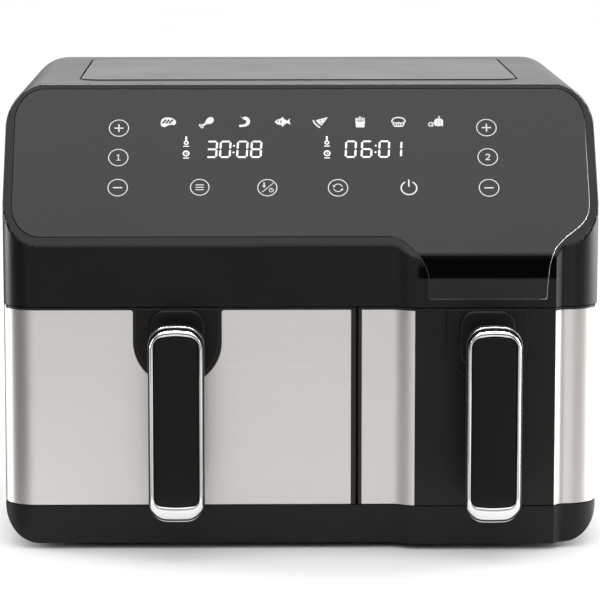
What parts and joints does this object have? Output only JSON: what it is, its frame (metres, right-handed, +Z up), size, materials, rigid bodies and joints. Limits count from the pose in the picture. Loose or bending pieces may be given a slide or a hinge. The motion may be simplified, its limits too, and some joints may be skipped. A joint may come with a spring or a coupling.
{
  "type": "dual-drawer air fryer",
  "caption": "Wide countertop air fryer with a large and a small steel-fronted drawer, slanted touch-glass panel, inset top plate and upright chrome-framed handles.",
  "frame": {"origin": "on the table under the centre of the overall box, handles and wall spacers included", "axes": "+Z up, -Y towards the user (drawers and panel), +X to the right seen from the front"},
  "size_m": [0.405, 0.395, 0.312],
  "materials": {
    "housing_black": "satin black moulded plastic",
    "base_black": "fine textured black plastic",
    "rear_black": "textured black plastic",
    "top_grey": "glossy grey inset plate",
    "control_glass": "smoked black touch glass, opaque behind",
    "circuit_green": "solder mask green circuit board",
    "display_white": "white reflector block",
    "spring_steel": "plated spring wire",
    "brushed_steel": "horizontally brushed stainless steel",
    "liner_steel": "aluminised sheet steel",
    "deck_steel": "galvanised sheet steel",
    "fan_metal": "pressed aluminium",
    "shaft_steel": "ground steel",
    "screw_steel": "zinc plated steel",
    "heater_metal": "oxidised heater sheath",
    "motor_steel": "varnished laminated steel",
    "fan_plastic": "natural nylon",
    "rubber_black": "soft black rubber",
    "ceramic_white": "ceramic and glass fibre sleeve",
    "insulation": "needled glass fibre blanket",
    "divider_grey": "galvanised divider",
    "component_dark": "dark component bodies",
    "cap_black": "black moulded plastic",
    "band_black": "satin black raised band",
    "escutcheon_black": "satin black escutcheon and neck",
    "grip_black": "black handle core",
    "chrome_trim": "polished chrome",
    "insert_black": "satin black insert",
    "nonstick": "dark non-stick coating",
    "silicone": "black silicone"
  },
  "bodies": {
    "cabinet": {"base_tray": "base_black", "rubber_feet": "rubber_black", "housing_screws": "screw_steel", "upper_housing": "housing_black", "top_plate": "top_grey", "control_glass": "control_glass", "control_board": "circuit_green", "display_modules": "display_white", "touch_springs": "spring_steel", "left_side_panel": "brushed_steel", "right_side_panel": "brushed_steel", "rear_cover": "rear_black", "exhaust_grille": "rear_black", "wall_spacers": "rubber_black", "cord_grommet": "rubber_black", "front_frame": "rear_black", "centre_divider": "divider_grey", "inner_deck": "deck_steel", "insulation_pads": "insulation", "left_cavity_liner": "liner_steel", "right_cavity_liner": "liner_steel", "guide_rails": "deck_steel", "heaters": "heater_metal", "heater_guards": "deck_steel", "temperature_probes": "spring_steel", "thermal_fuses": "ceramic_white", "reed_sensors": "component_dark", "motors": "motor_steel", "motor_brackets": "deck_steel", "power_board": "circuit_green", "power_parts": "component_dark"},
    "left_drawer": {"left_drawer_front": "cap_black", "left_steel_skin": "brushed_steel", "left_backplate": "cap_black", "left_escutcheon": "escutcheon_black", "left_handle_grip": "grip_black", "left_handle_frame": "chrome_trim", "left_handle_insert": "insert_black", "left_handle_screws": "screw_steel", "left_pan": "nonstick"},
    "right_drawer": {"right_drawer_front": "cap_black", "right_steel_skins": "brushed_steel", "right_band": "band_black", "right_backplate": "cap_black", "right_escutcheon": "escutcheon_black", "right_handle_grip": "grip_black", "right_handle_frame": "chrome_trim", "right_handle_insert": "insert_black", "right_handle_screws": "screw_steel", "right_pan": "nonstick"},
    "left_crisper_plate": {"left_crisper": "nonstick", "left_crisper_feet": "silicone"},
    "right_crisper_plate": {"right_crisper": "nonstick", "right_crisper_feet": "silicone"},
    "left_fan_set": {"left_fan": "fan_metal", "left_shaft": "shaft_steel", "left_cooling_fan": "fan_plastic"},
    "right_fan_set": {"right_fan": "fan_metal", "right_shaft": "shaft_steel", "right_cooling_fan": "fan_plastic"}
  },
  "joints": [
    {"name": "left_drawer_slide", "type": "slide", "parent": "cabinet", "child": "left_drawer", "axis": [0, -1, 0], "range_m": [0, 0.28]},
    {"name": "right_drawer_slide", "type": "slide", "parent": "cabinet", "child": "right_drawer", "axis": [0, -1, 0], "range_m": [0, 0.28]},
    {"name": "left_crisper_lift", "type": "slide", "parent": "left_drawer", "child": "left_crisper_plate", "axis": [0, 0, 1], "range_m": [0, 0.105]},
    {"name": "right_crisper_lift", "type": "slide", "parent": "right_drawer", "child": "right_crisper_plate", "axis": [0, 0, 1], "range_m": [0, 0.105]},
    {"name": "left_fan_spin", "type": "hinge", "parent": "cabinet", "child": "left_fan_set", "pos_m": [-0.081, 0.01, 0.19], "axis": [0, 0, 1], "continuous": true},
    {"name": "right_fan_spin", "type": "hinge", "parent": "cabinet", "child": "right_fan_set", "pos_m": [0.1195, 0.01, 0.19], "axis": [0, 0, 1], "continuous": true}
  ]
}
